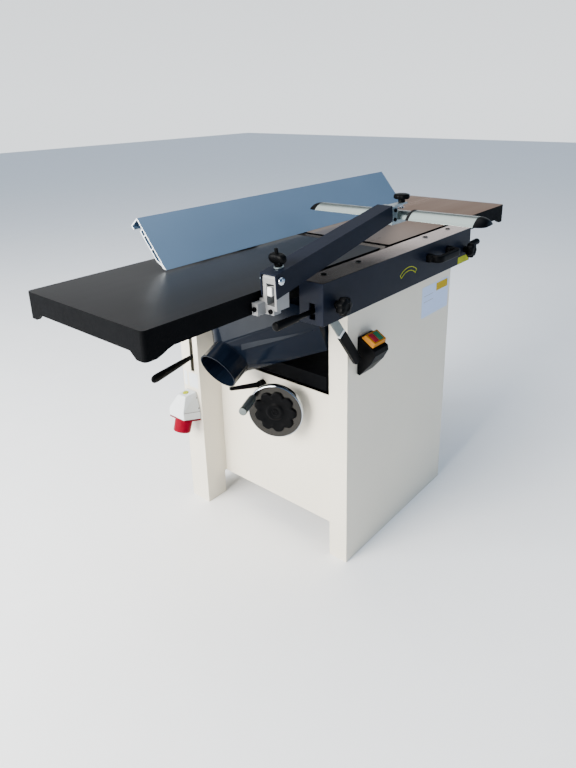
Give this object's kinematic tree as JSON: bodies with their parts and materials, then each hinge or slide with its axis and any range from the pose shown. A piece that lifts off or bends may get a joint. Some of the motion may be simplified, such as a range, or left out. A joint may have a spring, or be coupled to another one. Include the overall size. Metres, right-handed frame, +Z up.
{
  "type": "thickness planer",
  "caption": "Combined surface planer and thicknesser: sheet-steel cabinet, two long cast tables, tilting fence, bridge guard, dust hood, rising bed and handwheel.",
  "frame": {"origin": "centre of the footprint, on the floor", "axes": "+X towards the infeed end, +Y from the operator to the fence side, +Z up"},
  "size_m": [1.6, 1.0016, 1.001],
  "materials": {
    "cream": "fine structured powder coat",
    "navy": "hammered dark blue-grey enamel",
    "castIron": "dark ground or rough casting",
    "steel": "machined",
    "chrome": "polished",
    "zinc": "zinc plated",
    "castGrey": "as cast",
    "aluminium": "natural anodised",
    "anodised": "satin anodised, cool grey",
    "black": "fine grain",
    "rubber": "smooth",
    "orange": "moulded",
    "red": "moulded",
    "green": "moulded",
    "lightGrey": "moulded"
  },
  "bodies": {
    "cabinet": {"front_side_box": "cream", "rear_side_box": "cream", "rear_cover": "cream", "left_end_panel": "cream", "right_end_panel": "cream", "base_casting": "castIron", "front_bearing_plate": "castIron", "rear_bearing_plate": "castIron", "hinge_bracket_left": "castIron", "hinge_bracket_right": "castIron", "drive_belt": "rubber", "motor": "navy", "lift_gearbox": "castIron", "inlet_housing": "lightGrey", "inlet_barrel": "red", "switch_bracket": "black", "switch_housing": "orange", "dust_hood": "navy"},
    "cutter": {"cutterhead": "steel", "cutterhead_pulley": "castIron"},
    "motor_rotor": {"motor_pulley": "castIron"},
    "infeed_drum": {"infeed_roller": "steel"},
    "outfeed_drum": {"outfeed_roller": "steel"},
    "kickback": {"kickback_fingers": "steel"},
    "bed": {"thicknesser_bed": "castIron", "bed_column": "steel", "lift_screw": "steel"},
    "lift_nut": {"lift_nut_gear": "steel"},
    "lift_wheel": {"handwheel": "chrome", "handwheel_insert": "black", "handwheel_shaft": "steel"},
    "crank": {"crank_handle": "chrome"},
    "bed_lock": {"bed_lock_lever": "black"},
    "feed_switch": {"feed_lever": "black"},
    "start": {"start_button": "green"},
    "stop": {"stop_button": "red"},
    "tables": {"outfeed_table": "castIron", "infeed_table": "castIron", "front_bar": "navy", "pull_handle": "black", "guard_bracket": "castGrey", "fence_saddle": "castIron"},
    "knob_left": {"star_knob_left": "black"},
    "knob_right": {"star_knob_right": "black"},
    "outfeed_adjuster": {"outfeed_lever": "black"},
    "infeed_adjuster": {"infeed_lever": "black"},
    "table_lock": {"table_lock_lever": "zinc"},
    "fence_carriage": {"fence_head": "castIron"},
    "fence_face": {"fence": "anodised", "fence_tilt_bracket": "castIron"},
    "slide_lock": {"fence_slide_lock": "black"},
    "tilt_lock": {"fence_tilt_lock": "black"},
    "guard_carrier": {"guard_arm": "navy", "clamp_bracket": "zinc"},
    "arm_lock": {"arm_knob": "black"},
    "clamp_lock": {"clamp_knob": "black"},
    "guard": {"guard_inner_profile": "aluminium", "guard_outer_profile": "aluminium", "guard_cap_left": "black", "guard_cap_right": "black"}
  },
  "joints": [
    {"name": "cutterhead_spin", "type": "hinge", "parent": "cabinet", "child": "cutter", "pos_m": [0, -0.01856, 0.8125], "axis": [0, 1, 0], "continuous": true},
    {"name": "motor_spin", "type": "hinge", "parent": "cabinet", "child": "motor_rotor", "pos_m": [0.15, 0.22344, 0.19], "axis": [0, 1, 0], "continuous": true},
    {"name": "infeed_roller_spin", "type": "hinge", "parent": "cabinet", "child": "infeed_drum", "pos_m": [0.075, -0.01856, 0.7845], "axis": [0, 1, 0], "continuous": true},
    {"name": "outfeed_roller_spin", "type": "hinge", "parent": "cabinet", "child": "outfeed_drum", "pos_m": [-0.075, -0.01856, 0.7845], "axis": [0, 1, 0], "continuous": true},
    {"name": "kickback_swing", "type": "hinge", "parent": "cabinet", "child": "kickback", "pos_m": [0.118, -0.01856, 0.793], "axis": [0, 1, 0], "range_deg": [0, 25]},
    {"name": "bed_lift", "type": "slide", "parent": "cabinet", "child": "bed", "axis": [0, 0, 1], "range_m": [0, 0.0271]},
    {"name": "nut_spin", "type": "hinge", "parent": "cabinet", "child": "lift_nut", "pos_m": [-0.13, 0.01134, 0.39], "axis": [0, 0, 1], "range_deg": [-1625, 5]},
    {"name": "handwheel_turn", "type": "hinge", "parent": "cabinet", "child": "lift_wheel", "pos_m": [-0.287, -0.06186, 0.4249], "axis": [0.9063, 0.4226, 0], "range_deg": [0, 3240]},
    {"name": "crank_spin", "type": "hinge", "parent": "lift_wheel", "child": "crank", "pos_m": [-0.31227, -0.00766, 0.46677], "axis": [-0.9063, -0.4226, 0], "continuous": true},
    {"name": "bed_lock_turn", "type": "hinge", "parent": "cabinet", "child": "bed_lock", "pos_m": [-0.223, 0.04844, 0.452], "axis": [1, 0, 0], "range_deg": [-30, 15]},
    {"name": "feed_lever_turn", "type": "hinge", "parent": "cabinet", "child": "feed_switch", "pos_m": [-0.245, 0.26444, 0.516], "axis": [0, 1, 0], "range_deg": [-20, 35]},
    {"name": "start_press", "type": "slide", "parent": "cabinet", "child": "start", "axis": [0, 0.5263, -0.8503], "range_m": [0, 0.003], "stiffness_N_per_m": 400},
    {"name": "stop_press", "type": "slide", "parent": "cabinet", "child": "stop", "axis": [0, 0.5263, -0.8503], "range_m": [0, 0.003], "stiffness_N_per_m": 400},
    {"name": "tables_tilt", "type": "hinge", "parent": "cabinet", "child": "tables", "pos_m": [0, 0.28344, 0.81], "axis": [-1, 0, 0], "range_deg": [0, 85]},
    {"name": "left_knob_turn", "type": "hinge", "parent": "tables", "child": "knob_left", "pos_m": [-0.332, -0.32156, 0.8], "axis": [0, 1, 0], "range_deg": [-360, 360]},
    {"name": "right_knob_turn", "type": "hinge", "parent": "tables", "child": "knob_right", "pos_m": [0.318, -0.32156, 0.8], "axis": [0, 1, 0], "range_deg": [-360, 360]},
    {"name": "outfeed_lever_turn", "type": "hinge", "parent": "tables", "child": "outfeed_adjuster", "pos_m": [-0.34, -0.27356, 0.79], "axis": [0, 1, 0], "range_deg": [-6, 4]},
    {"name": "infeed_lever_turn", "type": "hinge", "parent": "tables", "child": "infeed_adjuster", "pos_m": [0.315, -0.27356, 0.79], "axis": [0, 1, 0], "range_deg": [-6, 6]},
    {"name": "table_lock_turn", "type": "hinge", "parent": "tables", "child": "table_lock", "pos_m": [-0.35, -0.29156, 0.786], "axis": [0, 1, 0], "range_deg": [0, 40]},
    {"name": "fence_slide", "type": "slide", "parent": "tables", "child": "fence_carriage", "axis": [0, 1, 0], "range_m": [-0.088, 0.075]},
    {"name": "fence_tilt", "type": "hinge", "parent": "fence_carriage", "child": "fence_face", "pos_m": [-0.17, 0.05894, 0.863], "axis": [1, 0, 0], "range_deg": [-5.4, 39.6]},
    {"name": "slide_lock_turn", "type": "hinge", "parent": "tables", "child": "slide_lock", "pos_m": [-0.17, 0.31544, 0.9043], "axis": [0, 0, 1], "range_deg": [0, 90]},
    {"name": "tilt_lock_turn", "type": "hinge", "parent": "fence_carriage", "child": "tilt_lock", "pos_m": [-0.1477, 0.15144, 0.89], "axis": [1, 0, 0], "range_deg": [-70, 0]},
    {"name": "guard_arm_turn", "type": "hinge", "parent": "tables", "child": "guard_carrier", "pos_m": [-0.485, -0.25456, 0.887], "axis": [0, -1, 0], "range_deg": [-6, 20]},
    {"name": "arm_knob_turn", "type": "hinge", "parent": "guard_carrier", "child": "arm_lock", "pos_m": [-0.46236, -0.25456, 0.89103], "axis": [-0.1754, 0, 0.9845], "continuous": true},
    {"name": "clamp_knob_turn", "type": "hinge", "parent": "guard_carrier", "child": "clamp_lock", "pos_m": [0.026, -0.25456, 0.985], "axis": [0, 0, 1], "continuous": true},
    {"name": "guard_slide", "type": "slide", "parent": "guard_carrier", "child": "guard", "axis": [-0.0532, 0.9986, 0], "range_m": [-0.15, 0.083]}
  ],
  "couplings": [
    {"joint": "motor_spin", "follows": "cutterhead_spin", "ratio": 0.7},
    {"joint": "outfeed_roller_spin", "follows": "infeed_roller_spin", "ratio": 1},
    {"joint": "bed_lift", "follows": "handwheel_turn", "m_per_rad": 0.00047746},
    {"joint": "nut_spin", "follows": "handwheel_turn", "ratio": -0.5}
  ]
}
